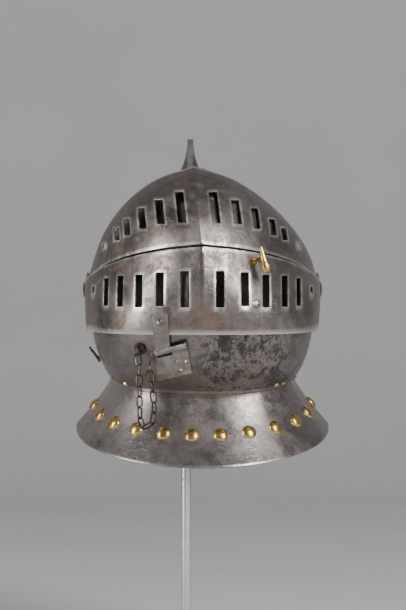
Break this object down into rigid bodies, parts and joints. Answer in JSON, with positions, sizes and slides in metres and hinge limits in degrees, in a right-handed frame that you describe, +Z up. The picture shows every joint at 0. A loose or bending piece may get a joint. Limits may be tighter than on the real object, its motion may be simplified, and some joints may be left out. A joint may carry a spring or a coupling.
{
  "type": "armet close helmet on a plain rod stand",
  "caption": "Close helmet with a slotted visor and ventail, a flared gorget edged with brass studs, a hasp, pin and chain, on a square base with a rod.",
  "frame": {"origin": "middle of the stand's flat underside, on the floor", "axes": "+Z up along the rod, -Y the way the helmet faces, +X towards the side with the catch"},
  "size_m": [0.2418, 0.2604, 0.5092],
  "materials": {
    "steel_plate": "old, pitted and stained",
    "brass": "rubbed bright on top, darker round the rim",
    "dark_iron": "dark and dull",
    "chrome": "polished",
    "black_steel": "satin"
  },
  "bodies": {
    "helmet_and_stand": {"skull": "steel_plate", "ventail": "steel_plate", "bevor": "steel_plate", "gorget_front": "steel_plate", "gorget_rear": "steel_plate", "pivot_bolt_left": "steel_plate", "pivot_bolt_right": "steel_plate", "face_screw": "steel_plate", "hasp_strap": "steel_plate", "hasp_plate": "steel_plate", "neck_rivet_right_c": "steel_plate", "neck_rivet_left_b": "steel_plate", "neck_rivet_back_a": "steel_plate", "neck_rivet_back_b": "steel_plate", "brass_stud_01": "brass", "brass_stud_02": "brass", "brass_stud_03": "brass", "brass_stud_04": "brass", "brass_stud_05": "brass", "brass_stud_06": "brass", "brass_stud_07": "brass", "brass_stud_08": "brass", "brass_stud_09": "brass", "brass_stud_10": "brass", "brass_stud_11": "brass", "brass_stud_12": "brass", "brass_stud_13": "brass", "brass_stud_14": "brass", "brass_stud_15": "brass", "brass_stud_16": "brass", "brass_stud_17": "brass", "brass_stud_18": "brass", "brass_stud_19": "brass", "brass_stud_20": "brass", "brass_stud_21": "brass", "brass_stud_22": "brass", "neck_rivet_right_a": "brass", "neck_rivet_right_b": "brass", "neck_rivet_left_a": "brass", "catch_post": "brass", "hasp_pin": "dark_iron", "chain": "dark_iron", "chain_staple": "dark_iron", "side_hook": "dark_iron", "stand_rod": "chrome", "stand_base": "black_steel", "stand_rest": "black_steel"},
    "visor": {"visor": "steel_plate"},
    "catch_lever": {"catch_lever": "brass"}
  },
  "joints": [
    {"name": "visor_lift", "type": "hinge", "parent": "helmet_and_stand", "child": "visor", "pos_m": [0, 0, 0.362], "axis": [-1, 0, 0], "range_deg": [0, 30]},
    {"name": "catch_turn", "type": "hinge", "parent": "helmet_and_stand", "child": "catch_lever", "pos_m": [0.047, -0.11335, 0.387], "axis": [0.5558, -0.8119, 0.1786], "range_deg": [-90, 90]}
  ]
}
